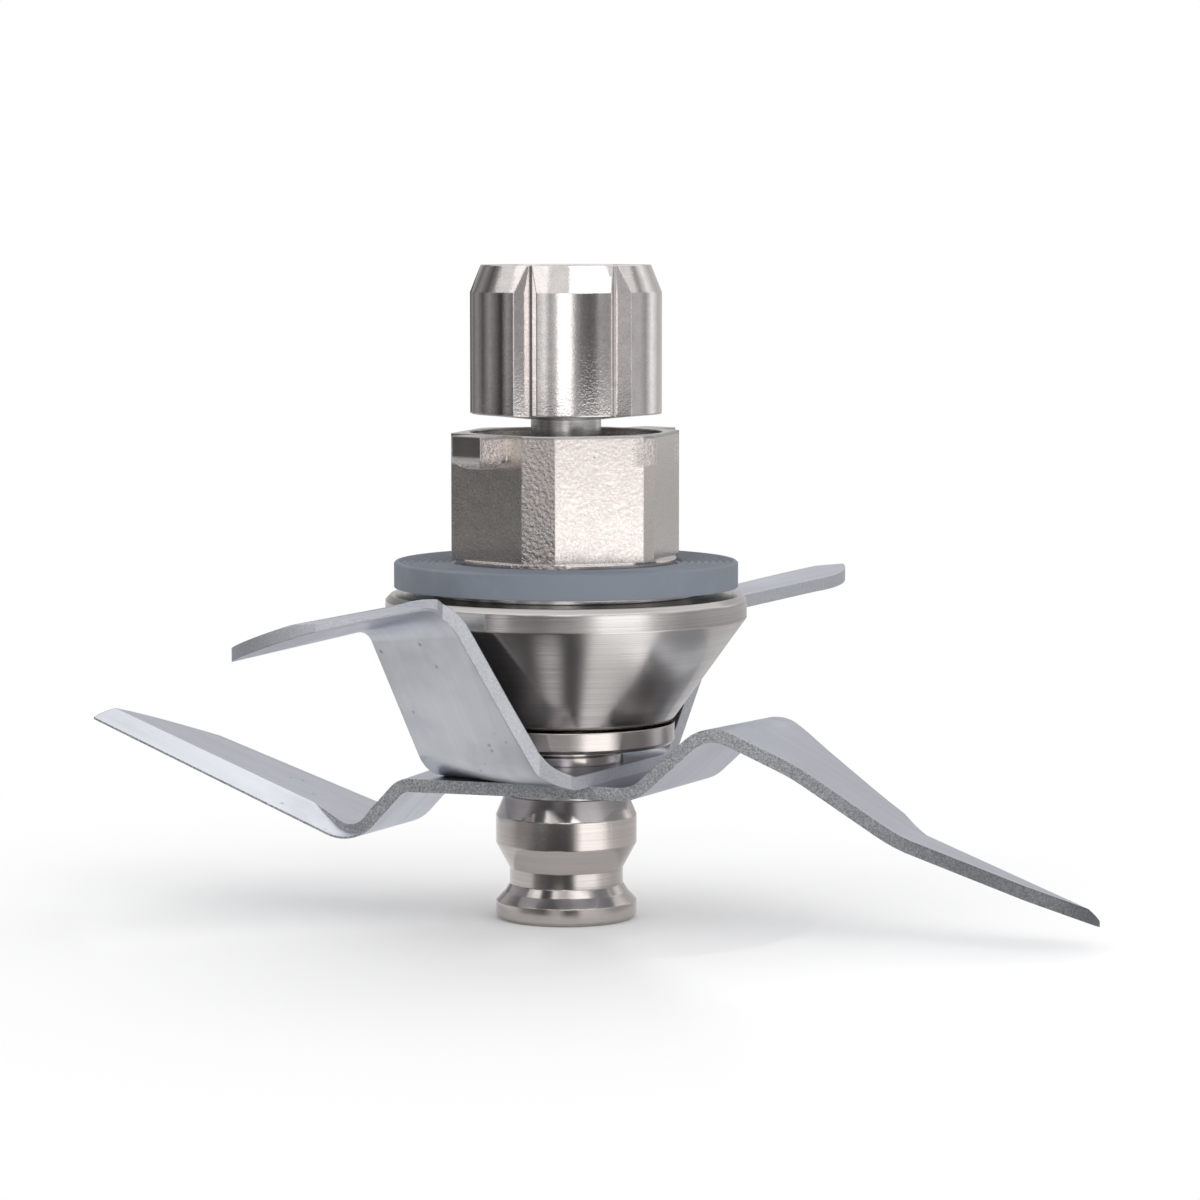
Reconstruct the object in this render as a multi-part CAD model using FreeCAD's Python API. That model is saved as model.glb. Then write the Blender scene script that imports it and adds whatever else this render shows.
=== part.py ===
"""Blade unit of a food processor: two stacked, bent blade sheets on a spindle
that turns in a cast bearing housing, with a lobed drive coupling on top.

Millimetres. +Z is up, the origin is on the spindle's axis at the knob's foot,
and the unit stands on its knob with the drive coupling up. Angles in degrees
are measured from +X towards +Y.
"""
import FreeCAD, Part
import math
import os

V = FreeCAD.Vector

# Blade knob: a turned nut with a foot, a waist and a belly
KNOB_FOOT_R = 8.06
KNOB_FOOT_HEIGHT = 2.5
KNOB_FOOT_CHAMFER = 0.45
KNOB_FOOT_SLOPE = (1.0, 0.6)
KNOB_WAIST_R = 6.5
KNOB_WAIST_Z = (4.0, 5.8)
KNOB_BELLY_R = 8.06
KNOB_BELLY_Z = (8.7, 11.9)
KNOB_TOP_R = 7.1
KNOB_HEIGHT = 14.2
KNOB_THREAD_DEPTH = 9.6
THREAD_END_GAP = 0.6

# Blade washer, blade sheets and their seats on the spindle
WASHER_R = 6.7
WASHER_THICKNESS = 0.85
SHEET = 1.5
DRIVE_FLATS = 6.4

# Lower blade sheet: rows of (distance along the blade, height over its root) of
# the upper face's fold lines, at the near side edge and at the far side edge,
# and its trimmed outline as (distance along, distance across)
LOWER_HEADING = -18.0
LOWER_HALF_WIDTH = 10.0
LOWER_FOLDS_NEAR = [(-60.0, 9.4), (-22.7, -6.4), (-16.8, 0.0), (10.75, 0.0),
                    (19.5, 7.9), (30.0, 3.2), (41.5, -4.1), (64.0, -11.8)]
LOWER_FOLDS_FAR = [(-60.0, 6.0), (-22.9, -7.2), (-16.3, 0.0), (13.9, 0.0),
                   (21.7, 7.5), (30.5, 2.0), (42.0, -4.3), (64.0, -16.0)]
LOWER_FOLD_RADII = [3.5, 3.0, 3.0, 5.0, 20.0, 20.0]
LOWER_OUTLINE = [(-54.4, -LOWER_HALF_WIDTH), (55.4, -LOWER_HALF_WIDTH), (60.5, -6.0),
                 (62.0, -0.8), (52.0, -1.9), (42.5, -0.9), (38.8, 0.4), (35.0, 2.6),
                 (27.6, 8.0), (25.2, 9.4), (22.2, LOWER_HALF_WIDTH),
                 (-47.0, LOWER_HALF_WIDTH), (-52.9, 0.5)]
LOWER_OUTLINE_ARCS = (2, 4, 6, 9, 12)

# Upper blade sheet: the same, for the lower face. What lies past its root folds is
# given for a flange of this radius, and moves out or in with the flange.
UPPER_HEADING = 230.0
UPPER_HALF_WIDTH = 9.4
UPPER_ROOT = 13.2
UPPER_FLANGE_R = 20.6
UPPER_FOLDS_LEFT = [(-56.0, 20.6), (-23.0, 17.15), (-UPPER_ROOT, 0.0), (UPPER_ROOT, 0.0),
                    (23.2, 17.55), (52.0, 15.2)]
UPPER_FOLDS_RIGHT = [(-56.0, 19.1), (-23.0, 17.15), (-UPPER_ROOT, 0.0), (UPPER_ROOT, 0.0),
                     (26.0, 22.3), (52.0, 21.8)]
UPPER_RADII_LEFT = [4.5, 4.5, 5.5, 1.2]
UPPER_RADII_RIGHT = [4.5, 4.5, 5.5, 9.0]
UPPER_OUTLINE = [(44.6, -UPPER_HALF_WIDTH), (46.6, -4.0), (44.0, 2.4), (35.0, 4.9),
                 (25.2, 3.6), (17.4, 6.4), (13.9, 7.8), (11.6, 10.4), (-UPPER_ROOT, 5.0),
                 (-41.0, 5.2), (-47.6, 4.3), (-51.6, 1.4), (-40.0, -3.6), (-25.0, -5.4),
                 (-UPPER_ROOT, -UPPER_HALF_WIDTH)]
UPPER_OUTLINE_ARCS = (1, 3, 10, 12)

# Ground cutting edges, on the blades' upper faces: where across the blade each
# grind runs out and where it is deepest, the land it leaves, and its plan outline
DROOPING_GRIND = (-4.2, 0.6)
DROOPING_GRIND_ZONE = [(38.0, 2.0), (44.0, -5.0), (70.0, -5.0), (70.0, 2.0)]
RISING_GRIND = (-4.5, -LOWER_HALF_WIDTH)
RISING_GRIND_ZONE = [(-70.0, -12.0), (-17.0, -12.0), (-30.0, -4.0), (-70.0, -4.0)]
FRONT_GRIND = (0.4, 5.2)
FRONT_GRIND_ZONE = [(24.0, 7.0), (30.0, 0.0), (60.0, 0.0), (60.0, 7.0)]
BACK_GRIND = (-0.4, -5.4)
BACK_GRIND_ZONE = [(-24.0, -7.0), (-30.0, 0.0), (-60.0, 0.0), (-60.0, -7.0)]
GRIND_LAND = 0.25

# Spare width of a folded strip, and height of the prism, before the outline trims it
STRIP_MARGIN = 4.0
PRISM_HEIGHT = 120.0
PRISM_BASE_Z = -40.0

# Collar under the cone, with its foot on the blades and its neck up the spindle
COLLAR_FOOT_R = 6.5
COLLAR_FOOT_HEIGHT = 2.15
COLLAR_R = 12.4
COLLAR_DISC = 2.4
COLLAR_NECK_R = 5.2
COLLAR_FOOT_STEP = 0.35
COLLAR_FOOT_STEP_Z = (1.0, 1.6)
COLLAR_FLARE_R = 7.0
COLLAR_CHAMFER = 0.4
O_RING_WIRE_R = 0.6
O_RING_GROOVE_Z = (0.5, 1.8)
O_RING_GROOVE_DEPTH = 1.3

# Ball bearings, two alike
BEARING_BORE_R = 4.0
BEARING_OUTER_R = 11.0
BEARING_SECTION = BEARING_OUTER_R - BEARING_BORE_R
INNER_RING_R = BEARING_BORE_R + 0.293 * BEARING_SECTION
OUTER_RING_BORE_R = BEARING_OUTER_R - 0.293 * BEARING_SECTION
BALL_R = BEARING_SECTION / 3.5
BALL_COUNT = 7
BALL_RUNNING_GAP = 0.10
CAGE_WALL = 0.171 * BEARING_SECTION
CAGE_RIM = 0.5
CAGE_HEIGHT = 2 * (BALL_R + BALL_RUNNING_GAP + CAGE_RIM)
CAGE_END_GAP = 0.45
SHIELD_THICKNESS = 0.3
SHIELD_INSET = 0.15
SHIELD_GAP = 0.2
BEARING_WIDTH = CAGE_HEIGHT + 2 * (CAGE_END_GAP + SHIELD_THICKNESS + SHIELD_INSET)
BEARING_SPACING = 7.7
OUTER_SPACER_WALL = 1.45

# Cast housing: cone, flange, round neck and hexagonal head with two lugs
HOUSING_GAP = 0.3
CONE_FOOT_R = COLLAR_R + 0.1
CONE_FOOT_CHAMFER = 0.4
SEAL_BORE_R = COLLAR_NECK_R + 2.8
SEAL_BORE_DEPTH = 7.2
SHOULDER_BORE_R = BEARING_OUTER_R - 2.4
SHOULDER_HEIGHT = 1.9
CONE_HEIGHT = 11.7
FLANGE_BAND = 2.05
FLANGE_BEVEL = 0.6
GASKET_LAND_HEIGHT = 0.85
NECK_R = BEARING_OUTER_R + 1.55
NECK_HEIGHT = 4.15
HEAD_WALL = 0.65
HEX_ACROSS_FLATS = 2 * (BEARING_OUTER_R + HEAD_WALL)
HEX_HEADING = -74.5
HEAD_RIM = 1.0
CORNER_FLATS = {-104.5: 3.8, 75.5: 3.8, -44.5: 1.7, 135.5: 1.7}
LUG_WIDTH = 4.5
LUG_HEIGHT = 3.7
LUG_LENGTH = 4.15
LUG_REACH = HEX_ACROSS_FLATS / 2.0 + LUG_LENGTH
LUG_HEADING = -134.5
LUG_ROOT = 0.3
LUG_CORNER_R = 1.5

# Gasket with ridges on its upper face
GASKET_WIDTH = 7.05
GASKET_R = NECK_R + GASKET_WIDTH
FLANGE_OVERHANG = 1.0
FLANGE_R = GASKET_R + FLANGE_OVERHANG
GASKET_OVERHANG = 4.5
GASKET_LAND_R = GASKET_R - GASKET_OVERHANG
GASKET_THICKNESS = 2.9
GASKET_BORE_GAP = 0.1
RIDGE_COUNT = 8
RIDGE_DEPTH = 0.3
RIDGE_RIM = 0.5
RIDGE_GROOVE = (0.4, 0.6)
GASKET_CHAMFER = 0.2

# Retaining rings
RING_THICKNESS = 1.0
RING_GROOVE_DEPTH = 0.55
RETAINING_RING_WALL = 1.75
RETAINING_RING_OPENING = 5.0
EAR_R = 1.5
EAR_POS = (BEARING_OUTER_R - 1.65, 3.7)
EAR_HOLE_R = 0.6
CLIP_R = BEARING_BORE_R + 1.3
CLIP_OPENING = 2.4

# Seal and its garter spring
SEAL_HEIGHT = 6.2
SPRING_WIRE_R = 0.45
SPRING_R = 1.05
SPRING_Z = 0.62
# Seal section: rows of (distance from the collar's neck, height from the seal's foot)
SEAL_LIP = [(0.5, 2.6), (0.05, 2.0), (0.45, 1.0), (1.35, 1.2), (1.65, 2.6)]
SEAL_WALL = 0.7
SEAL_UPPER_LIP = [(0.55, 5.0), (1.15, 4.2)]

# Spindle and drive coupling
SPINDLE_R = BEARING_BORE_R
THREAD_R = 3.0
COUPLING_R = 10.9
COUPLING_TOP_R = 9.65
COUPLING_HEIGHT = 17.4
COUPLING_CHAMFER = 3.1
COUPLING_BELLY = 0.6
COUPLING_GAP = 1.5
COUPLING_FOOT_R = 5.0
LOBE_COUNT = 6
LOBE_HEADING = -85.0
GROOVE_DEPTH = 1.4
GROOVE_WIDTH = 3.0
GROOVE_ROOT = 0.25
COUPLING_RECESS_R = 6.2
COUPLING_RECESS_DEPTH = 1.2
CENTRE_HOLE_R = 1.1
CENTRE_HOLE_DEPTH = 1.9

# Heights that follow from the sizes above, counted from the knob's foot
WASHER_Z = KNOB_HEIGHT
LOWER_SHEET_Z = WASHER_Z + WASHER_THICKNESS
UPPER_SHEET_Z = LOWER_SHEET_Z + SHEET
COLLAR_Z = UPPER_SHEET_Z + SHEET
COLLAR_DISC_Z = COLLAR_Z + COLLAR_FOOT_HEIGHT
COLLAR_TOP_Z = COLLAR_DISC_Z + COLLAR_DISC
HOUSING_Z = COLLAR_TOP_Z + HOUSING_GAP
SHOULDER_Z = HOUSING_Z + SEAL_BORE_DEPTH
LOWER_BEARING_Z = SHOULDER_Z + SHOULDER_HEIGHT
SPACER_Z = LOWER_BEARING_Z + BEARING_WIDTH
UPPER_BEARING_Z = SPACER_Z + BEARING_SPACING
BEARING_TOP_Z = UPPER_BEARING_Z + BEARING_WIDTH
FLANGE_Z = HOUSING_Z + CONE_HEIGHT
FLANGE_TOP_Z = FLANGE_Z + FLANGE_BAND + FLANGE_BEVEL
GASKET_Z = FLANGE_TOP_Z + GASKET_LAND_HEIGHT
HEX_Z = FLANGE_TOP_Z + NECK_HEIGHT
HEX_TOP_Z = BEARING_TOP_Z + RING_THICKNESS + HEAD_RIM
COUPLING_Z = HEX_TOP_Z + COUPLING_GAP
COUPLING_TOP_Z = COUPLING_Z + COUPLING_HEIGHT
BALL_TRACK_R = (INNER_RING_R + OUTER_RING_BORE_R) / 2.0


def revolved(points):
    """A solid turned about the spindle's axis from (radius, height) corners."""
    corners = [V(r, 0, z) for r, z in points]
    face = Part.Face(Part.makePolygon(corners + corners[:1]))
    return face.revolve(V(0, 0, 0), V(0, 0, 1), 360)


def tube(outer_r, inner_r, z, height):
    """A plain ring."""
    ring = Part.makeCylinder(outer_r, height, V(0, 0, z))
    return ring.cut(Part.makeCylinder(inner_r, height, V(0, 0, z)))


def torus(track_r, wire_r, z):
    """A round ring of round section."""
    return Part.makeTorus(track_r, wire_r, V(0, 0, z))


def turned(shape, degrees):
    """A copy of a shape turned about the spindle's axis."""
    copy = shape.copy()
    copy.rotate(V(0, 0, 0), V(0, 0, 1), degrees)
    return copy


def flat_sided(radius, across_flats, z, height):
    """A round bar with two flats, which drives what is pushed onto it."""
    bar = Part.makeCylinder(radius, height, V(0, 0, z))
    slab = Part.makeBox(4 * radius, across_flats, height,
                        V(-2 * radius, -across_flats / 2.0, z))
    return bar.common(slab)


def parallel_chain(knots, distance):
    """The chain of fold points moved by a distance to its upper side."""
    moved = []
    for i in range(len(knots)):
        before = knots[max(i - 1, 0)]
        here = knots[i]
        after = knots[min(i + 1, len(knots) - 1)]
        turn_in = math.atan2(here[1] - before[1], here[0] - before[0])
        turn_out = math.atan2(after[1] - here[1], after[0] - here[0])
        if i == 0:
            turn_in = turn_out
        if i == len(knots) - 1:
            turn_out = turn_in
        middle = (turn_in + turn_out) / 2.0
        reach = distance / math.cos((turn_out - turn_in) / 2.0)
        moved.append((here[0] - reach * math.sin(middle), here[1] + reach * math.cos(middle)))
    return moved


def rounded_chain(knots, radii, place):
    """Straight runs joined by tangent arcs, as edges in the plane given by place."""
    edges = []
    start = knots[0]
    for i in range(1, len(knots) - 1):
        before, here, after = knots[i - 1], knots[i], knots[i + 1]
        heading_in = math.atan2(here[1] - before[1], here[0] - before[0])
        heading_out = math.atan2(after[1] - here[1], after[0] - here[0])
        turn = heading_out - heading_in
        setback = radii[i - 1] * math.tan(abs(turn) / 2.0)
        a = (here[0] - setback * math.cos(heading_in), here[1] - setback * math.sin(heading_in))
        b = (here[0] + setback * math.cos(heading_out), here[1] + setback * math.sin(heading_out))
        side = 1.0 if turn > 0 else -1.0
        bulge = radii[i - 1] * (1.0 / math.cos(turn / 2.0) - 1.0)
        middle = (heading_in + heading_out) / 2.0
        m = (here[0] - side * bulge * math.sin(middle), here[1] + side * bulge * math.cos(middle))
        edges.append(Part.makeLine(place(start), place(a)))
        edges.append(Part.Arc(place(a), place(m), place(b)).toShape())
        start = b
    edges.append(Part.makeLine(place(start), place(knots[-1])))
    return edges


def fold_radii(knots, radii, distance):
    """The radii of a chain that lies a distance above the one the radii are given for."""
    result = []
    for i, radius in enumerate(radii):
        before, here, after = knots[i], knots[i + 1], knots[i + 2]
        cross = ((here[0] - before[0]) * (after[1] - here[1])
                 - (here[1] - before[1]) * (after[0] - here[0]))
        result.append(radius - distance if cross > 0 else radius + distance)
    return result


def strip_section(knots, radii, low, high, offset):
    """The outline of a folded strip's section at one distance across it."""
    def place(point):
        return V(point[0], offset, point[1])

    lower = parallel_chain(knots, low)
    upper = parallel_chain(knots, high)
    lower_edges = rounded_chain(lower, fold_radii(knots, radii, low), place)
    upper_edges = rounded_chain(upper, fold_radii(knots, radii, high), place)
    ends = [Part.makeLine(place(lower[-1]), place(upper[-1])),
            Part.makeLine(place(upper[0]), place(lower[0]))]
    return Part.Wire(Part.__sortEdges__(lower_edges + upper_edges + ends))


def between(side_a, side_b, share):
    """The fold points at a share of the way from side a to side b."""
    return [(a[0] + share * (b[0] - a[0]), a[1] + share * (b[1] - a[1]))
            for a, b in zip(side_a, side_b)]


def plan_prism(corners, arcs):
    """A tall prism from a plan outline; arcs names corners that an arc passes through."""
    points = [V(x, y, PRISM_BASE_Z) for x, y in corners]
    count = len(points)
    edges = []
    i = 0
    while i < count:
        if (i + 1) % count in arcs:
            edges.append(Part.Arc(points[i], points[(i + 1) % count],
                                  points[(i + 2) % count]).toShape())
            i += 2
        else:
            edges.append(Part.makeLine(points[i], points[(i + 1) % count]))
            i += 1
    return Part.Face(Part.Wire(edges)).extrude(V(0, 0, PRISM_HEIGHT))


class FoldedSheet:
    """A sheet whose fold lines run from one side edge to the other."""

    def __init__(self, side_a, side_b, radii_a, radii_b, half_width, face):
        """Keep the fold points and radii of both side edges.

        The fold points lie on one face; face gives the heights of the sheet's lower
        and upper faces over it.
        """
        self.side_a, self.side_b = side_a, side_b
        self.radii_a, self.radii_b = radii_a, radii_b
        self.half_width = half_width
        self.face = face

    def strip(self, offset_a, offset_b, low, high):
        """A folded strip between two distances across the sheet."""
        width = 2 * self.half_width
        share_a = (offset_a + self.half_width) / width
        share_b = (offset_b + self.half_width) / width
        sections = []
        for share, offset, bottom, top in ((share_a, offset_a, low[0], high[0]),
                                           (share_b, offset_b, low[1], high[1])):
            knots = between(self.side_a, self.side_b, share)
            kept_share = min(max(share, 0.0), 1.0)
            radii = [a + kept_share * (b - a) for a, b in zip(self.radii_a, self.radii_b)]
            sections.append(strip_section(knots, radii, bottom, top, offset))
        return Part.makeLoft(sections, True, True)

    def trimmed(self, outline, arcs):
        """The sheet inside its plan outline."""
        reach = self.half_width + STRIP_MARGIN
        bottom, top = self.face
        return self.strip(-reach, reach, (bottom, bottom), (top, top)).common(
            plan_prism(outline, arcs))

    def grind(self, run_out, edge, zone):
        """The wedge that a grind removes from the upper face."""
        top = self.face[1]
        deep = top - (SHEET - GRIND_LAND)
        (side_a, low_a), (side_b, low_b) = sorted([(run_out, top), (edge, deep)])
        wedge = self.strip(side_a, side_b, (low_a, low_b), (top + SHEET, top + SHEET))
        return wedge.common(plan_prism(zone, ()))


def placed_blade(sheet, heading):
    """A blade turned to its heading, lifted to its seat and cut for the spindle's flats."""
    blade = sheet.copy()
    blade.translate(V(0, 0, UPPER_SHEET_Z))
    return turned(blade, heading).cut(flat_sided(SPINDLE_R, DRIVE_FLATS, 0, COLLAR_Z))


def lower_blade():
    """Sheet with one arm that folds up and droops, and one that dips and rises."""
    sheet = FoldedSheet(LOWER_FOLDS_NEAR, LOWER_FOLDS_FAR, LOWER_FOLD_RADII, LOWER_FOLD_RADII,
                        LOWER_HALF_WIDTH, (-SHEET, 0.0))
    blade = sheet.trimmed(LOWER_OUTLINE, LOWER_OUTLINE_ARCS)
    blade = blade.cut(sheet.grind(*DROOPING_GRIND, DROOPING_GRIND_ZONE))
    blade = blade.cut(sheet.grind(*RISING_GRIND, RISING_GRIND_ZONE))
    return placed_blade(blade, LOWER_HEADING)


def beside_flange(points):
    """Points of the upper blade, moved along it with the flange past the root folds."""
    spread = FLANGE_R - UPPER_FLANGE_R
    return [(x + math.copysign(spread, x) if abs(x) > UPPER_ROOT else x, other)
            for x, other in points]


def upper_blade():
    """Sheet with two arms that fold steeply up beside the cone and then level out."""
    sheet = FoldedSheet(beside_flange(UPPER_FOLDS_LEFT), beside_flange(UPPER_FOLDS_RIGHT),
                        UPPER_RADII_LEFT, UPPER_RADII_RIGHT, UPPER_HALF_WIDTH, (0.0, SHEET))
    blade = sheet.trimmed(beside_flange(UPPER_OUTLINE), UPPER_OUTLINE_ARCS)
    blade = blade.cut(sheet.grind(*FRONT_GRIND, beside_flange(FRONT_GRIND_ZONE)))
    blade = blade.cut(sheet.grind(*BACK_GRIND, beside_flange(BACK_GRIND_ZONE)))
    return placed_blade(blade, UPPER_HEADING)


def blade_knob():
    """Turned nut with a blind thread, which clamps the blades and is the unit's foot."""
    c = KNOB_FOOT_CHAMFER
    body = revolved([(0, 0), (KNOB_FOOT_R - c, 0), (KNOB_FOOT_R, c),
                     (KNOB_FOOT_R, KNOB_FOOT_HEIGHT - c),
                     (KNOB_FOOT_R - KNOB_FOOT_SLOPE[0], KNOB_FOOT_HEIGHT + KNOB_FOOT_SLOPE[1]),
                     (KNOB_WAIST_R, KNOB_WAIST_Z[0]), (KNOB_WAIST_R, KNOB_WAIST_Z[1]),
                     (KNOB_BELLY_R, KNOB_BELLY_Z[0]), (KNOB_BELLY_R, KNOB_BELLY_Z[1]),
                     (KNOB_TOP_R, KNOB_HEIGHT), (0, KNOB_HEIGHT)])
    return body.cut(Part.makeCylinder(THREAD_R, KNOB_THREAD_DEPTH,
                                      V(0, 0, KNOB_HEIGHT - KNOB_THREAD_DEPTH)))


def blade_washer():
    """Thin washer between the knob and the blades."""
    return tube(WASHER_R, THREAD_R, WASHER_Z, WASHER_THICKNESS)


def spindle_shaft():
    """Stepped spindle: thread, flats for the blades, bearing seats and a flatted head."""
    thread_z = KNOB_HEIGHT - KNOB_THREAD_DEPTH + THREAD_END_GAP
    thread = Part.makeCylinder(THREAD_R, LOWER_SHEET_Z - thread_z, V(0, 0, thread_z))
    flats = flat_sided(SPINDLE_R, DRIVE_FLATS, LOWER_SHEET_Z, 2 * SHEET)
    seat = Part.makeCylinder(SPINDLE_R, COUPLING_Z - COLLAR_Z, V(0, 0, COLLAR_Z))
    head = flat_sided(SPINDLE_R, DRIVE_FLATS, COUPLING_Z,
                      COUPLING_HEIGHT - COUPLING_RECESS_DEPTH)
    shaft = thread.fuse([flats, seat, head])
    groove = tube(CLIP_R, SPINDLE_R - RING_GROOVE_DEPTH, BEARING_TOP_Z, RING_THICKNESS)
    top_z = COUPLING_TOP_Z - COUPLING_RECESS_DEPTH
    centre_hole = Part.makeCone(0, CENTRE_HOLE_R, CENTRE_HOLE_DEPTH,
                                V(0, 0, top_z - CENTRE_HOLE_DEPTH))
    return shaft.cut([groove, centre_hole]).removeSplitter()


def collar():
    """Turned collar: foot on the blades, disc under the cone, neck inside the seal."""
    step_z, step_end_z = COLLAR_FOOT_STEP_Z
    body = revolved([(SPINDLE_R, COLLAR_Z), (COLLAR_FOOT_R, COLLAR_Z),
                     (COLLAR_FOOT_R, COLLAR_Z + step_z),
                     (COLLAR_FOOT_R - COLLAR_FOOT_STEP, COLLAR_Z + step_z + COLLAR_FOOT_STEP / 2.0),
                     (COLLAR_FOOT_R - COLLAR_FOOT_STEP, COLLAR_Z + step_end_z),
                     (COLLAR_FLARE_R, COLLAR_DISC_Z), (COLLAR_R - COLLAR_CHAMFER, COLLAR_DISC_Z),
                     (COLLAR_R, COLLAR_DISC_Z + COLLAR_CHAMFER),
                     (COLLAR_R, COLLAR_TOP_Z), (COLLAR_NECK_R, COLLAR_TOP_Z),
                     (COLLAR_NECK_R, LOWER_BEARING_Z), (SPINDLE_R, LOWER_BEARING_Z)])
    groove = tube(SPINDLE_R + O_RING_GROOVE_DEPTH, SPINDLE_R, COLLAR_Z + O_RING_GROOVE_Z[0],
                  O_RING_GROOVE_Z[1] - O_RING_GROOVE_Z[0])
    return body.cut(groove)


def collar_o_ring():
    """Round rubber ring in the collar's inner groove, against the spindle."""
    middle_z = COLLAR_Z + (O_RING_GROOVE_Z[0] + O_RING_GROOVE_Z[1]) / 2.0
    return torus(SPINDLE_R + O_RING_GROOVE_DEPTH / 2.0, O_RING_WIRE_R, middle_z)


def bearing_rings(z):
    """Inner and outer ring of one ball bearing, each with its ball groove."""
    groove = torus(BALL_TRACK_R, BALL_R + BALL_RUNNING_GAP, z + BEARING_WIDTH / 2.0)
    inner = tube(INNER_RING_R, BEARING_BORE_R, z, BEARING_WIDTH).cut(groove)
    outer = tube(BEARING_OUTER_R, OUTER_RING_BORE_R, z, BEARING_WIDTH).cut(groove)
    return inner, outer


def bearing_ball_set(z):
    """The balls of one bearing, and the cage that keeps them apart."""
    middle = z + BEARING_WIDTH / 2.0
    cage = tube(BALL_TRACK_R + CAGE_WALL / 2.0, BALL_TRACK_R - CAGE_WALL / 2.0,
                middle - CAGE_HEIGHT / 2.0, CAGE_HEIGHT)
    balls = []
    for i in range(BALL_COUNT):
        angle = math.radians(360.0 * i / BALL_COUNT)
        centre = V(BALL_TRACK_R * math.cos(angle), BALL_TRACK_R * math.sin(angle), middle)
        balls.append(Part.makeSphere(BALL_R, centre))
        pocket = Part.makeCylinder(BALL_R + BALL_RUNNING_GAP, BEARING_OUTER_R, V(0, 0, middle),
                                   V(centre.x, centre.y, 0))
        cage = cage.cut(pocket)
    return Part.makeCompound(balls), cage


def bearing_shields(z):
    """The two thin covers that are pressed into the outer ring's faces."""
    inner_r = INNER_RING_R + SHIELD_GAP
    low = tube(OUTER_RING_BORE_R, inner_r, z + SHIELD_INSET, SHIELD_THICKNESS)
    high_z = z + BEARING_WIDTH - SHIELD_INSET - SHIELD_THICKNESS
    high = tube(OUTER_RING_BORE_R, inner_r, high_z, SHIELD_THICKNESS)
    return Part.makeCompound([low, high])


def hex_head_plan():
    """The corners of the head's hexagon, with some of its corners cut flat."""
    apothem = HEX_ACROSS_FLATS / 2.0
    corner_r = apothem / math.cos(math.radians(30))
    sides = [(HEX_HEADING + 60.0 * i, apothem) for i in range(6)]
    for heading, width in CORNER_FLATS.items():
        sides.append((heading, corner_r - width / (2.0 * math.tan(math.radians(60)))))
    sides = sorted(((heading % 360.0), distance) for heading, distance in sides)
    corners = []
    for i, (heading, distance) in enumerate(sides):
        next_heading, next_distance = sides[(i + 1) % len(sides)]
        a, b = math.radians(heading), math.radians(next_heading)
        spread = math.sin(b - a)
        corners.append(((distance * math.sin(b) - next_distance * math.sin(a)) / spread,
                        (next_distance * math.cos(a) - distance * math.cos(b)) / spread))
    return corners


def lug():
    """Bayonet lug: flush with the head's top, its lower corners rounded."""
    start = HEX_ACROSS_FLATS / 2.0 - LUG_ROOT
    reach = LUG_REACH - start
    block = Part.makeBox(reach, LUG_WIDTH, LUG_HEIGHT,
                         V(start, -LUG_WIDTH / 2.0, HEX_TOP_Z - LUG_HEIGHT))
    lower_edges = [edge for edge in block.Edges
                   if abs(edge.CenterOfMass.z - block.BoundBox.ZMin) < LUG_ROOT
                   and abs(edge.Length - reach) < LUG_ROOT]
    return turned(block.makeFillet(LUG_CORNER_R, lower_edges), LUG_HEADING)


def bearing_housing():
    """One casting: hexagonal head with lugs, neck, turned flange and cone, bored through."""
    body = revolved([(0, HOUSING_Z), (CONE_FOOT_R - CONE_FOOT_CHAMFER, HOUSING_Z),
                     (CONE_FOOT_R, HOUSING_Z + CONE_FOOT_CHAMFER), (FLANGE_R, FLANGE_Z),
                     (FLANGE_R, FLANGE_Z + FLANGE_BAND),
                     (FLANGE_R - FLANGE_BEVEL, FLANGE_TOP_Z),
                     (GASKET_LAND_R, FLANGE_TOP_Z), (GASKET_LAND_R, GASKET_Z),
                     (NECK_R, GASKET_Z), (NECK_R, HEX_Z), (0, HEX_Z)])
    corners = [V(x, y, HEX_Z) for x, y in hex_head_plan()]
    head = Part.Face(Part.makePolygon(corners + corners[:1])).extrude(
        V(0, 0, HEX_TOP_Z - HEX_Z))
    body = body.fuse([head, lug(), turned(lug(), 180)])
    bores = revolved([(0, HOUSING_Z), (SEAL_BORE_R, HOUSING_Z), (SEAL_BORE_R, SHOULDER_Z),
                      (SHOULDER_BORE_R, SHOULDER_Z), (SHOULDER_BORE_R, LOWER_BEARING_Z),
                      (BEARING_OUTER_R, LOWER_BEARING_Z), (BEARING_OUTER_R, BEARING_TOP_Z),
                      (BEARING_OUTER_R + RING_GROOVE_DEPTH, BEARING_TOP_Z),
                      (BEARING_OUTER_R + RING_GROOVE_DEPTH, BEARING_TOP_Z + RING_THICKNESS),
                      (BEARING_OUTER_R, BEARING_TOP_Z + RING_THICKNESS),
                      (BEARING_OUTER_R, HEX_TOP_Z), (0, HEX_TOP_Z)])
    return body.cut(bores).removeSplitter()


def gasket():
    """Silicone ring around the neck, with fine ridges on the face that seals."""
    inner_r = NECK_R + GASKET_BORE_GAP
    top = GASKET_Z + GASKET_THICKNESS
    pitch = (GASKET_R - RIDGE_RIM - inner_r) / RIDGE_COUNT
    points = [(inner_r, GASKET_Z), (GASKET_R, GASKET_Z), (GASKET_R, top - GASKET_CHAMFER),
              (GASKET_R - GASKET_CHAMFER, top)]
    for i in range(RIDGE_COUNT):
        r = GASKET_R - RIDGE_RIM - i * pitch
        points.append((r, top))
        points.append((r - pitch * RIDGE_GROOVE[0], top - RIDGE_DEPTH))
        points.append((r - pitch * RIDGE_GROOVE[1], top - RIDGE_DEPTH))
    points.append((inner_r, top - RIDGE_DEPTH))
    return revolved(points)


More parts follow.
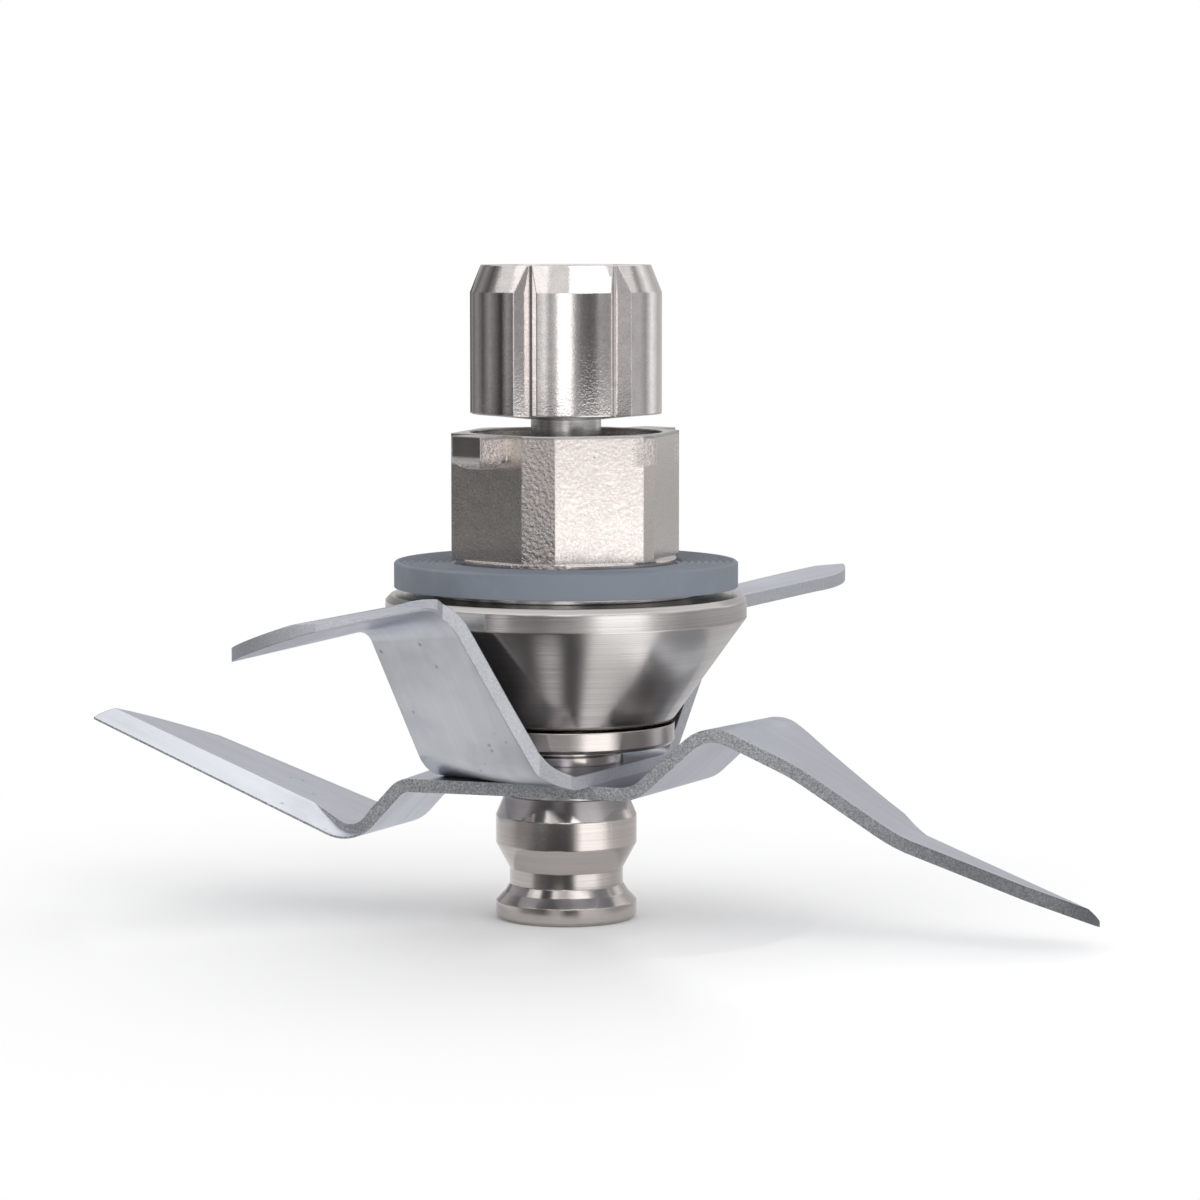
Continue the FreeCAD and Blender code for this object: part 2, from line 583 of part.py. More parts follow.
def retaining_ring():
    """Spring ring in the housing's groove over the upper bearing, with its two ears."""
    outer_r = BEARING_OUTER_R + RING_GROOVE_DEPTH
    ring = tube(outer_r, outer_r - RETAINING_RING_WALL, BEARING_TOP_Z, RING_THICKNESS)
    ring = ring.cut(Part.makeBox(outer_r, RETAINING_RING_OPENING, RING_THICKNESS,
                                 V(0, -RETAINING_RING_OPENING / 2.0, BEARING_TOP_Z)))
    for side in (-1, 1):
        place = V(EAR_POS[0], side * EAR_POS[1], BEARING_TOP_Z)
        ring = ring.fuse(Part.makeCylinder(EAR_R, RING_THICKNESS, place))
        ring = ring.cut(Part.makeCylinder(EAR_HOLE_R, RING_THICKNESS, place))
    return turned(ring.removeSplitter(), 90)


def shaft_clip():
    """Spring ring in the spindle's groove, on the upper bearing's inner ring."""
    ring = tube(CLIP_R, SPINDLE_R - RING_GROOVE_DEPTH, BEARING_TOP_Z, RING_THICKNESS)
    return ring.cut(Part.makeBox(CLIP_R, CLIP_OPENING, RING_THICKNESS,
                                 V(0, -CLIP_OPENING / 2.0, BEARING_TOP_Z)))


def shaft_seal():
    """Rubber lip seal in the cone's foot, its lip on the collar's neck."""
    base = SHOULDER_Z - SEAL_HEIGHT
    lips = [(COLLAR_NECK_R + out, base + up) for out, up in SEAL_UPPER_LIP + SEAL_LIP]
    wall_r = SEAL_BORE_R - SEAL_WALL
    return revolved([(SEAL_BORE_R, base), (SEAL_BORE_R, SHOULDER_Z), (lips[0][0], SHOULDER_Z)]
                    + lips + [(wall_r, lips[-1][1]), (wall_r, base)])


def seal_spring():
    """Garter spring that lies on the seal's lip."""
    return torus(COLLAR_NECK_R + SPRING_R, SPRING_WIRE_R, SHOULDER_Z - SEAL_HEIGHT + SPRING_Z)


def drive_coupling():
    """Six-lobed coupling with a chamfered top, a belly below and a flatted bore."""
    chamfer_z = COUPLING_TOP_Z - COUPLING_CHAMFER
    body = revolved([(0, COUPLING_Z), (COUPLING_FOOT_R, COUPLING_Z),
                     (COUPLING_R, COUPLING_Z + COUPLING_BELLY), (COUPLING_R, chamfer_z),
                     (COUPLING_TOP_R, COUPLING_TOP_Z), (0, COUPLING_TOP_Z)])
    flank = (GROOVE_WIDTH - GROOVE_ROOT) / 2.0 / GROOVE_DEPTH
    mouth = GROOVE_ROOT / 2.0 + 2 * GROOVE_DEPTH * flank
    root_x, mouth_x = COUPLING_R - GROOVE_DEPTH, COUPLING_R + GROOVE_DEPTH
    corners = [V(root_x, -GROOVE_ROOT / 2.0, COUPLING_Z), V(mouth_x, -mouth, COUPLING_Z),
               V(mouth_x, mouth, COUPLING_Z), V(root_x, GROOVE_ROOT / 2.0, COUPLING_Z)]
    groove = Part.Face(Part.makePolygon(corners + corners[:1])).extrude(V(0, 0, COUPLING_HEIGHT))
    for i in range(LOBE_COUNT):
        heading = LOBE_HEADING + 180.0 / LOBE_COUNT + i * 360.0 / LOBE_COUNT
        body = body.cut(turned(groove, heading))
    recess = Part.makeCone(COUPLING_RECESS_R - COUPLING_RECESS_DEPTH, COUPLING_RECESS_R,
                           COUPLING_RECESS_DEPTH, V(0, 0, COUPLING_TOP_Z - COUPLING_RECESS_DEPTH))
    return body.cut(recess).cut(flat_sided(SPINDLE_R, DRIVE_FLATS, COUPLING_Z, COUPLING_HEIGHT))


def main():
    """Build every piece and write each one to its own file."""
    os.makedirs("parts", exist_ok=True)
    pieces = {
        "bearing_housing": bearing_housing(),
        "gasket": gasket(),
        "retaining_ring": retaining_ring(),
        "outer_spacer": tube(BEARING_OUTER_R, BEARING_OUTER_R - OUTER_SPACER_WALL,
                             SPACER_Z, BEARING_SPACING),
        "shaft_seal": shaft_seal(),
        "seal_spring": seal_spring(),
        "spindle_shaft": spindle_shaft(),
        "drive_coupling": drive_coupling(),
        "inner_spacer": tube(COLLAR_NECK_R, SPINDLE_R, SPACER_Z, BEARING_SPACING),
        "shaft_clip": shaft_clip(),
        "collar": collar(),
        "collar_o_ring": collar_o_ring(),
        "upper_blade": upper_blade(),
        "lower_blade": lower_blade(),
        "blade_washer": blade_washer(),
        "blade_knob": blade_knob(),
    }
    for name, z in (("lower", LOWER_BEARING_Z), ("upper", UPPER_BEARING_Z)):
        inner, outer = bearing_rings(z)
        balls, cage = bearing_ball_set(z)
        pieces[name + "_inner_ring"] = inner
        pieces[name + "_outer_ring"] = outer
        pieces[name + "_balls"] = balls
        pieces[name + "_cage"] = cage
        pieces[name + "_shields"] = bearing_shields(z)
    for name, shape in pieces.items():
        shape.exportStep("parts/" + name + ".step")
        print(name, shape.isValid(), len(shape.Solids), round(shape.Volume, 2))


main()
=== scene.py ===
"""Looks of a food processor's blade unit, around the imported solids.

Two bent blade sheets sit on a spindle that turns in a cast bearing housing. The
unit stands on its turned blade knob, with the lobed drive coupling on top.
Metres, +Z up, and -Y is the side the camera looks from.
"""
import logging
import math
from dataclasses import dataclass
from enum import Enum

import bpy
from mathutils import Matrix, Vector


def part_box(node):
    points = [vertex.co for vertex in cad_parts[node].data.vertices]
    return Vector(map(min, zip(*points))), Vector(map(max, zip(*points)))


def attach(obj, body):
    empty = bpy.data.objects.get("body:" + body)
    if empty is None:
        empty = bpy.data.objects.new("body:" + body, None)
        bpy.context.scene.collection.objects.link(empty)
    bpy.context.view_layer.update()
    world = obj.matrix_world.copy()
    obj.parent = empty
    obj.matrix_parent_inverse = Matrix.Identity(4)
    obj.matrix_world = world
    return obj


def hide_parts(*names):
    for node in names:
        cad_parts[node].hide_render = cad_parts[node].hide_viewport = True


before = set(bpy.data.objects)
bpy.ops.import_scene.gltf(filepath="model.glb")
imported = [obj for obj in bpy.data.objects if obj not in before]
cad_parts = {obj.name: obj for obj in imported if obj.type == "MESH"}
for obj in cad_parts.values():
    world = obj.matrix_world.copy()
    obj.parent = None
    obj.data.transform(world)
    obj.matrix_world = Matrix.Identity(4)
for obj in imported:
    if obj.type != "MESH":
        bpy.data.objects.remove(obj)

LOG = logging.getLogger("blade_unit")
MM = 0.001
PHOTO_PX = 1200.0
SENSOR_MM = 36.0

# The bands that the metal reflects: how far out they stand, the height where the
# upper one takes over from the lower one, and the lift of the flat ones.
BAND_REACH = 0.55
BAND_SPLIT = 0.027
BAND_LIFT = 0.3 * MM

WHITE = (1.0, 1.0, 1.0, 1.0)
Colour = tuple[float, float, float]
Shades = tuple[tuple[float, float], ...]
Socket = bpy.types.NodeSocket


class Body(Enum):
    """The rigid bodies that the pieces ride on."""

    HOUSING = "housing"
    SPINDLE = "spindle"
    LOWER_BALLS = "lower_ball_set"
    UPPER_BALLS = "upper_ball_set"


class Slot(Enum):
    """The record's material slots."""

    CAST = "cast_steel"
    TURNED = "turned_steel"
    POLISHED = "polished_steel"
    BLADE = "blade_steel"
    SILICONE = "silicone"
    RUBBER = "seal_rubber"
    SPRING = "spring_steel"
    BEARING = "bearing_steel"
    BRASS = "cage_brass"


# Node helpers


class Graph:
    """A node tree with short ways to add and join nodes."""

    def __init__(self, tree: bpy.types.NodeTree) -> None:
        """Keep the tree that the nodes go into."""
        self.tree = tree

    def node(self, kind: str, **settings: object) -> bpy.types.Node:
        """Add a node.

        Args:
            kind: the node's type name.
            settings: properties to set on it.

        Returns:
            The new node.
        """
        node = self.tree.nodes.new(kind)
        for name, value in settings.items():
            setattr(node, name, value)
        return node

    def feed(self, target: Socket, value: object) -> None:
        """Link a socket to a target, or set the target's own value.

        Args:
            target: the input to feed.
            value: a socket, or a plain value.
        """
        if isinstance(value, bpy.types.NodeSocket):
            self.tree.links.new(value, target)
        else:
            target.default_value = value

    def wired(self, kind: str, values: dict[str | int, object], **settings: object) -> Socket:
        """Add a node with its inputs fed.

        Args:
            kind: the node's type name.
            values: sockets or plain values, by the input's name or number.
            settings: properties to set on it.

        Returns:
            The socket of its first output.
        """
        node = self.node(kind, **settings)
        for name, value in values.items():
            self.feed(node.inputs[name], value)
        return node.outputs[0]

    def math(self, operation: str, *values: object) -> Socket:
        """Return the result of a Math node on sockets or numbers."""
        return self.wired("ShaderNodeMath", dict(enumerate(values)), operation=operation)

    def times(self, first: object, second: object) -> Socket:
        """Return the product of two sockets or numbers."""
        return self.math("MULTIPLY", first, second)

    def added(self, first: object, *shares: tuple[Socket, float]) -> Socket:
        """Add shares of further values to a first one.

        Args:
            first: a socket or a number.
            shares: the further values, each with the share that is added.

        Returns:
            The sum's socket.
        """
        total = first
        for value, share in shares:
            total = self.math("ADD", total, self.times(value, share))
        return total

    def ramp(self, value: Socket, low: float, high: object,
             to_low: float = 0.0, to_high: float = 1.0) -> Socket:
        """Map a value smoothly from one range to another.

        Args:
            value: the socket to map.
            low: where the change starts.
            high: where it ends.
            to_low: the result at low.
            to_high: the result at high.

        Returns:
            The mapped value's socket.
        """
        return self.wired("ShaderNodeMapRange",
                          dict(enumerate((value, low, high, to_low, to_high))),
                          interpolation_type="SMOOTHSTEP")

    def mix(self, factor: object, first: object, second: object) -> Socket:
        """Mix two colours.

        Args:
            factor: the second colour's share.
            first: a colour or a socket.
            second: a colour or a socket.

        Returns:
            The mixed colour's socket.
        """
        node = self.node("ShaderNodeMix", data_type="RGBA")
        self.feed(node.inputs["Factor"], factor)
        for name, value in (("A", first), ("B", second)):
            socket = next(s for s in node.inputs if s.name == name and s.type == "RGBA")
            self.feed(socket, (*value, 1.0) if isinstance(value, tuple) else value)
        return next(s for s in node.outputs if s.type == "RGBA")

    def stained(self, base: object, mask: Socket, share: float, stain: Colour) -> Socket:
        """Stain a colour where a mask is set, up to a share."""
        return self.mix(self.times(mask, share), base, stain)

    def noise(self, vector: Socket, scale: object, detail: float,
              roughness: float = 0.55) -> Socket:
        """Add a noise pattern.

        Args:
            vector: where the pattern is read.
            scale: its scale.
            detail: its number of octaves.
            roughness: how strong the finer octaves are.

        Returns:
            The pattern's value socket.
        """
        return self.wired("ShaderNodeTexNoise", {"Vector": vector, "Scale": scale,
                                                 "Detail": detail, "Roughness": roughness})

    def vector(self, x: object, y: object, z: object) -> Socket:
        """Return the vector of three sockets or numbers."""
        return self.wired("ShaderNodeCombineXYZ", {0: x, 1: y, 2: z})

    def parts(self, vector: Socket) -> tuple[Socket, ...]:
        """Split a vector.

        Args:
            vector: the vector's socket.

        Returns:
            The sockets of its x, y and z.
        """
        node = self.node("ShaderNodeSeparateXYZ")
        self.feed(node.inputs[0], vector)
        return tuple(node.outputs)

    def place(self) -> Socket:
        """Return the Object coordinates' socket."""
        return self.node("ShaderNodeTexCoord").outputs["Object"]

    def geometry(self, name: str) -> Socket:
        """Return one of the Geometry node's sockets."""
        return self.node("ShaderNodeNewGeometry").outputs[name]

    def axial(self) -> tuple[Socket, Socket, Socket, Socket]:
        """Read the place from the spindle's axis.

        Returns:
            The sockets of x, y, z and of the distance to the axis.
        """
        x, y, z = self.parts(self.place())
        squares = self.math("ADD", self.times(x, x), self.times(y, y))
        return x, y, z, self.math("SQRT", squares)

    def seen(self) -> Socket:
        """Mark the rays that see a background, not those that only light by it.

        Returns:
            The mask of camera, glossy and transmission rays.
        """
        path = self.node("ShaderNodeLightPath").outputs
        through = self.math("MAXIMUM", path["Is Glossy Ray"], path["Is Transmission Ray"])
        return self.math("MAXIMUM", path["Is Camera Ray"], through)


def shader_group(name: str, inputs: dict[str, float], outputs: tuple[str, ...]) -> Graph:
    """Start a shader node group.

    Args:
        name: the group's name.
        inputs: its number inputs, with their usual values.
        outputs: its value outputs.

    Returns:
        The graph of the new group.
    """
    tree = bpy.data.node_groups.new(name, "ShaderNodeTree")
    for label, value in inputs.items():
        socket = tree.interface.new_socket(name=label, in_out="INPUT",
                                           socket_type="NodeSocketFloat")
        socket.default_value = value
    for label in outputs:
        tree.interface.new_socket(name=label, in_out="OUTPUT", socket_type="NodeSocketFloat")
    return Graph(tree)


class Effects:
    """The surface effects that several finishes share, each built once."""

    def __init__(self) -> None:
        """Build the groups."""
        self.turning = self._turning()
        self.drawn_grain = self._drawn_grain()
        self.cast_skin = self._cast_skin()
        self.handling = self._handling()
        self.sheared = self._sheared()

    def _turning(self) -> bpy.types.NodeTree:
        """Draw the rings that a lathe leaves around the spindle's axis.

        Returns:
            The group.
        """
        graph = shader_group("turning_rings", {"Rings": 9000.0, "Patches": 40.0, "Wander": 0.35},
                             ("Height", "Shade"))
        given = graph.node("NodeGroupInput").outputs
        x, y, z, radius = graph.axial()
        turn = graph.math("COSINE", graph.math("ARCTAN2", y, x))
        across = graph.vector(graph.times(radius, given["Rings"]),
                              graph.times(turn, given["Wander"]),
                              graph.times(z, given["Rings"]))
        fine = graph.noise(across, scale=1.0, detail=3.0, roughness=0.7)
        broad = graph.noise(across, scale=0.12, detail=2.0)
        patches = graph.noise(graph.place(), given["Patches"], detail=2.0)
        shade = graph.added(graph.times(broad, 0.35), (fine, 0.45), (patches, 0.2))
        out = graph.node("NodeGroupOutput").inputs
        graph.feed(out["Height"], graph.added(fine, (broad, 0.6)))
        graph.feed(out["Shade"], graph.ramp(shade, low=0.36, high=0.64))
        return graph.tree

    def _drawn_grain(self) -> bpy.types.NodeTree:
        """Draw fine straight marks along a sheet, at a heading in the plan.

        Returns:
            The group.
        """
        graph = shader_group("drawn_grain", {"Heading": 0.0, "Across": 5200.0, "Along": 190.0},
                             ("Height", "Shade"))
        given = graph.node("NodeGroupInput").outputs
        turned = graph.wired("ShaderNodeVectorRotate", {
            "Vector": graph.place(), "Angle": graph.times(given["Heading"], -1.0),
        }, rotation_type="Z_AXIS")
        along, across, z = graph.parts(turned)
        stretched = graph.vector(graph.times(along, given["Along"]),
                                 graph.times(across, given["Across"]),
                                 graph.times(z, given["Along"]))
        fine = graph.noise(stretched, scale=1.0, detail=4.0, roughness=0.65)
        slow = graph.noise(stretched, scale=0.13, detail=2.0)
        out = graph.node("NodeGroupOutput").inputs
        graph.feed(out["Height"], fine)
        graph.feed(out["Shade"], graph.ramp(slow, low=0.34, high=0.66))
        return graph.tree

    def _cast_skin(self) -> bpy.types.NodeTree:
        """Draw the dimpled and speckled skin of a small investment casting.

        Returns:
            The group.
        """
        graph = shader_group("cast_skin", {"Dimples": 1500.0}, ("Height", "Shade"))
        given = graph.node("NodeGroupInput").outputs
        place = graph.place()
        dimples = graph.wired("ShaderNodeTexVoronoi", {
            "Vector": place, "Scale": given["Dimples"]}, feature="SMOOTH_F1")
        fine = graph.noise(place, graph.times(given["Dimples"], 1.9), detail=5.0, roughness=0.7)
        slow = graph.noise(place, graph.times(given["Dimples"], 0.22), detail=3.0)
        shade = graph.added(graph.times(fine, 0.75), (slow, 0.25))
        out = graph.node("NodeGroupOutput").inputs
        graph.feed(out["Height"], graph.added(dimples, (fine, 0.9), (slow, 0.8)))
        graph.feed(out["Shade"], graph.ramp(shade, low=0.40, high=0.60))
        return graph.tree

    def _handling(self) -> bpy.types.NodeTree:
        """Draw small pits, and the smudges that handling leaves.

        Returns:
            The group.
        """
        graph = shader_group("handling_marks", {"Pits": 520.0, "Pit Share": 0.08,
                                                "Smudges": 60.0}, ("Pits", "Smudge"))
        given = graph.node("NodeGroupInput").outputs
        place = graph.place()
        pits = graph.wired("ShaderNodeTexVoronoi", {
            "Vector": place, "Scale": given["Pits"], "Randomness": 1.0}, feature="F1")
        near = graph.ramp(pits, low=0.0, high=given["Pit Share"], to_low=1.0, to_high=0.0)
        chance = graph.noise(place, graph.times(given["Pits"], 0.21), detail=2.0)
        rare = graph.ramp(chance, low=0.50, high=0.58)
        smudge = graph.noise(place, given["Smudges"], detail=5.0, roughness=0.6)
        out = graph.node("NodeGroupOutput").inputs
        graph.feed(out["Pits"], graph.times(near, rare))
        graph.feed(out["Smudge"], graph.ramp(smudge, low=0.44, high=0.72))
        return graph.tree

    def _sheared(self) -> bpy.types.NodeTree:
        """Mark the upright sides that trimming leaves on a bent sheet.

        Returns:
            The group, with the sides' mask and their grain.
        """
        graph = shader_group("sheared_sides", {"Grain": 4600.0}, ("Mask", "Height"))
        given = graph.node("NodeGroupInput").outputs
        _, _, lean = graph.parts(graph.geometry("True Normal"))
        mask = graph.ramp(graph.math("ABSOLUTE", lean), low=0.04, high=0.12,
                          to_low=1.0, to_high=0.0)
        grain = graph.noise(graph.place(), given["Grain"], detail=5.0, roughness=0.75)
        out = graph.node("NodeGroupOutput").inputs
        graph.feed(out["Mask"], mask)
        graph.feed(out["Height"], grain)
        return graph.tree


class Surface:
    """One material in the making: a graph with a Principled shader at its end."""

    def __init__(self, name: str, base: Colour, metallic: float, roughness: float) -> None:
        """Start a material.

        Args:
            name: the material's name.
            base: its base colour, also shown in the solid view.
            metallic: its metallic value.
            roughness: its roughness.
        """
        self.material = bpy.data.materials.new(name)
        self.material.use_nodes = True
        self.material.diffuse_color = (*base, 1.0)
        self.graph = Graph(self.material.node_tree)
        self.shader = self.material.node_tree.nodes["Principled BSDF"]
        self.graph.feed(self.shader.inputs["Base Color"], (*base, 1.0))
        self.graph.feed(self.shader.inputs["Metallic"], metallic)
        self.graph.feed(self.shader.inputs["Roughness"], roughness)
        self.normal: Socket | None = None

    def effect(self, tree: bpy.types.NodeTree, **values: float) -> dict[str, Socket]:
        """Place a shared effect.

        Args:
            tree: the effect's group.
            values: its inputs, with underscores for spaces.

        Returns:
            The effect's outputs by name.
        """
        node = self.graph.node("ShaderNodeGroup", node_tree=tree)
        for name, value in values.items():
            self.graph.feed(node.inputs[name.replace("_", " ")], value)
        return {socket.name: socket for socket in node.outputs}

    def rounded(self, radius: float) -> None:
        """Soften the sharp edges by a small radius."""
        self.normal = self.graph.wired("ShaderNodeBevel", {"Radius": radius}, samples=6)

    def bump(self, height: Socket, distance: float, strength: object = 1.0) -> None:
        """Raise the surface by a pattern.

        Args:
            height: the pattern.
            distance: its depth in metres.
            strength: its share, a number or a mask.
        """
        values = {"Strength": strength, "Distance": distance, "Height": height}
        if self.normal is not None:
            values["Normal"] = self.normal
        self.normal = self.graph.wired("ShaderNodeBump", values)

    def colour(self, value: Socket) -> None:
        """Give the surface a varying base colour."""
        self.graph.feed(self.shader.inputs["Base Color"], value)

    def roughness(self, value: Socket) -> None:
        """Give the surface a varying roughness."""
        self.graph.feed(self.shader.inputs["Roughness"], value)

    def finished(self) -> bpy.types.Material:
        """Join the last bump.

        Returns:
            The material.
        """
        if self.normal is not None:
            self.graph.feed(self.shader.inputs["Normal"], self.normal)
        return self.material


# Finishes


@dataclass(frozen=True)
class TurnedSteel:
    """Steel as it comes from the lathe, more or less polished."""

    name: str
    bright: Colour = (0.66, 0.645, 0.63)
    dark: Colour = (0.40, 0.385, 0.375)
    roughness: float = 0.22
    rings: float = 9000.0
    depth: float = 0.006 * MM
    edge: float = 0.18 * MM
    banding: float = 0.22
    speckle: float = 0.10
    pit_share: float = 0.7
    ring_rough: float = 0.3
    smudge_rough: float = 0.04
    dimples: float = 4200.0
    skin_depth: float = 0.008 * MM
    ring_strength: float = 0.6

    def build(self, effects: Effects) -> bpy.types.Material:
        """Make the material.

        Args:
            effects: the shared effects.

        Returns:
            The material.
        """
        surface = Surface(self.name, self.bright, metallic=1.0, roughness=self.roughness)
        graph = surface.graph
        rings = surface.effect(effects.turning, Rings=self.rings)
        marks = surface.effect(effects.handling)
        skin = surface.effect(effects.cast_skin, Dimples=self.dimples)
        tint = graph.stained(self.bright, rings["Shade"], self.banding, self.dark)
        tint = graph.stained(tint, skin["Shade"], self.speckle, self.dark)
        surface.colour(graph.stained(tint, marks["Pits"], self.pit_share, self.dark))
        surface.roughness(graph.added(self.roughness,
                                      (rings["Shade"], self.ring_rough * self.roughness),
                                      (marks["Smudge"], self.smudge_rough)))
        surface.rounded(self.edge)
        surface.bump(skin["Height"], self.skin_depth, self.speckle)
        surface.bump(rings["Height"], self.depth, self.ring_strength)
        return surface.finished()


@dataclass(frozen=True)
class CastHousingSteel:
    """The casting: grainy where it is as cast, bright or satin where it is turned, with painted
    shade on two corner flats.
    """

    name: str = "cast_housing_steel"
    warm: Colour = (0.78, 0.72, 0.69)
    shadow: Colour = (0.24, 0.21, 0.195)
    turned: Colour = (0.58, 0.555, 0.54)
    turned_dark: Colour = (0.30, 0.28, 0.27)
    corner_heading: float = -104.5
    corner_shade_share: float = 0.45
    smooth_share: float = 0.05
    lug_depth: tuple[float, float] = (3.4 * MM, 3.06 * MM)
    lug_reach: tuple[float, float] = (3.6 * MM, 3.2 * MM)
    neck_blend: float = 0.2 * MM
    rim_blend: tuple[float, float] = (0.25 * MM, 0.05 * MM)
    lug_blend: tuple[float, float] = (0.5 * MM, 0.1 * MM)
    dimples: float = 2400.0
    rings: float = 7000.0
    pits: float = 420.0
    skin_share: float = 0.12
    ring_share: float = 0.40
    pit_share: float = 0.8
    cast_rough: float = 0.20
    turned_rough: float = 0.16
    rough_spread: float = 0.08
    edge: float = 0.25 * MM
    skin_depth: float = 0.17 * MM
    ring_depth: float = 0.008 * MM
    ring_strength: float = 0.6

    def build(self, effects: Effects, neck_z: float, rim_z: float,
              lug_r: float) -> bpy.types.Material:
        """Make the material.

        Args:
            effects: the shared effects.
            neck_z: the height where the turned lower half ends.
            rim_z: the height above which the head's rim is machined.
            lug_r: the distance from the axis past which the lugs are machined.

        Returns:
            The material.
        """
        surface = Surface(self.name, self.warm, metallic=1.0, roughness=self.cast_rough)
        graph = surface.graph
        _, _, z, radius = graph.axial()
        # Tools have been on the lower half, the head's rim and the ends of its lugs.
        below = graph.ramp(z, neck_z - self.neck_blend, neck_z + self.neck_blend,
                           to_low=1.0, to_high=0.0)
        rim = graph.ramp(z, *(rim_z - depth for depth in self.rim_blend))
        lug_end = graph.ramp(radius, *(lug_r - depth for depth in self.lug_blend))
        machined = graph.math("MAXIMUM", below, graph.math("MAXIMUM", rim, lug_end))
        skin = surface.effect(effects.cast_skin, Dimples=self.dimples)
        rings = surface.effect(effects.turning, Rings=self.rings)
        marks = surface.effect(effects.handling, Pits=self.pits)
        corner = self._corner(graph)
        cast = graph.stained(self.warm, skin["Shade"], self.skin_share, self.shadow)
        # Painted shade: the flats at the corner's heading are darkened towards the shadow colour.
        cast = graph.stained(cast, corner, self.corner_shade_share, self.shadow)
        lathe = graph.stained(self.turned, rings["Shade"], self.ring_share, self.turned_dark)
        tint = graph.mix(machined, cast, lathe)
        surface.colour(graph.stained(tint, marks["Pits"], self.pit_share, self.shadow))
        cast_rough = graph.added(self.cast_rough, (skin["Shade"], self.rough_spread))
        turned_rough = graph.added(self.turned_rough, (rings["Shade"], self.rough_spread))
        rough = graph.node("ShaderNodeMix", data_type="FLOAT")
        for socket, value in zip(rough.inputs[:1] + rough.inputs[2:4],
                                 (machined, cast_rough, turned_rough)):
            graph.feed(socket, value)
        surface.roughness(rough.outputs[0])
        surface.rounded(self.edge)
        # The cast skin is rough on the corner's flats and the lugs, and faint elsewhere.
        lug = graph.times(graph.ramp(radius, *(lug_r - reach for reach in self.lug_reach)),
                          graph.ramp(z, *(rim_z - depth for depth in self.lug_depth)))
        grain = graph.math("MAXIMUM", graph.math("MAXIMUM", corner, lug), self.smooth_share)
        as_cast = graph.math("SUBTRACT", 1.0, machined)
        surface.bump(skin["Height"], self.skin_depth, graph.times(as_cast, grain))
        surface.bump(rings["Height"], self.ring_depth, graph.times(machined, self.ring_strength))
        return surface.finished()

    def _corner(self, graph: Graph) -> Socket:
        """Mark the two opposite flats at the corner's heading, where the skin is rough and where
        shade is painted.

        Args:
            graph: the material's graph.

        Returns:
            The flats' mask.
        """
        turn = math.radians(self.corner_heading)
        facing = graph.node("ShaderNodeVectorMath", operation="DOT_PRODUCT")
        graph.feed(facing.inputs[0], graph.geometry("True Normal"))
        graph.feed(facing.inputs[1], (math.cos(turn), math.sin(turn), 0.0))
        return graph.ramp(graph.math("ABSOLUTE", facing.outputs["Value"]), low=0.95, high=0.99)


@dataclass(frozen=True)
class BladeSheet:
    """Satin stainless sheet with fine marks along it and rough sheared sides."""

    name: str
    heading_degrees: float
    side: Colour
    side_dark: Colour
    # Past a distance along x the sheared sides are darkened with painted shade.
    side_shade_from: float = 1.0
    side_shade_span: float = 0.035
    side_shade_share: float = 0.75
    face: Colour = (0.68, 0.695, 0.735)
    worn: Colour = (0.53, 0.545, 0.585)
    pit: Colour = (0.20, 0.20, 0.21)
    painted_side_shade: Colour = (0.05, 0.05, 0.055)
    grazing: Colour = (0.80, 0.81, 0.85)
    grain_share: float = 0.30
    smudge_share: float = 0.45
    pit_share: float = 0.85
    roughness: float = 0.32
    smudge_rough: float = 0.10
    side_rough: float = 0.26
    edge: float = 0.15 * MM
    grain_depth: float = 0.004 * MM
    grain_strength: float = 0.5
    side_depth: float = 0.04 * MM
    side_strength: float = 0.7

    def build(self, effects: Effects) -> bpy.types.Material:
        """Make the material.

        Args:
            effects: the shared effects.

        Returns:
            The material.
        """
        surface = Surface(self.name, self.face, metallic=1.0, roughness=self.roughness)
        graph = surface.graph
        grain = surface.effect(effects.drawn_grain, Heading=math.radians(self.heading_degrees))
        marks = surface.effect(effects.handling, Pits=420.0, Pit_Share=0.16, Smudges=90.0)
        sheared = surface.effect(effects.sheared)
        face = graph.stained(self.face, grain["Shade"], self.grain_share, self.worn)
        face = graph.stained(face, marks["Smudge"], self.smudge_share, self.worn)
        face = graph.stained(face, marks["Pits"], self.pit_share, self.pit)
        side = graph.mix(graph.ramp(sheared["Height"], low=0.36, high=0.64),
                         self.side, self.side_dark)
        x, _, _, _ = graph.axial()
        # Painted shade: the sides get darker past a distance along x.
        side_shade = graph.ramp(x, self.side_shade_from, self.side_shade_from + self.side_shade_span)
        side = graph.stained(side, side_shade, self.side_shade_share, self.painted_side_shade)
        surface.colour(graph.mix(sheared["Mask"], face, side))
        graph.feed(surface.shader.inputs["Specular Tint"], (*self.grazing, 1.0))
        surface.roughness(graph.added(self.roughness, (marks["Smudge"], self.smudge_rough),
                                      (sheared["Mask"], self.side_rough)))
        surface.rounded(self.edge)
        surface.bump(grain["Height"], self.grain_depth, self.grain_strength)
        surface.bump(sheared["Height"], self.side_depth,
                     graph.times(sheared["Mask"], self.side_strength))
        return surface.finished()


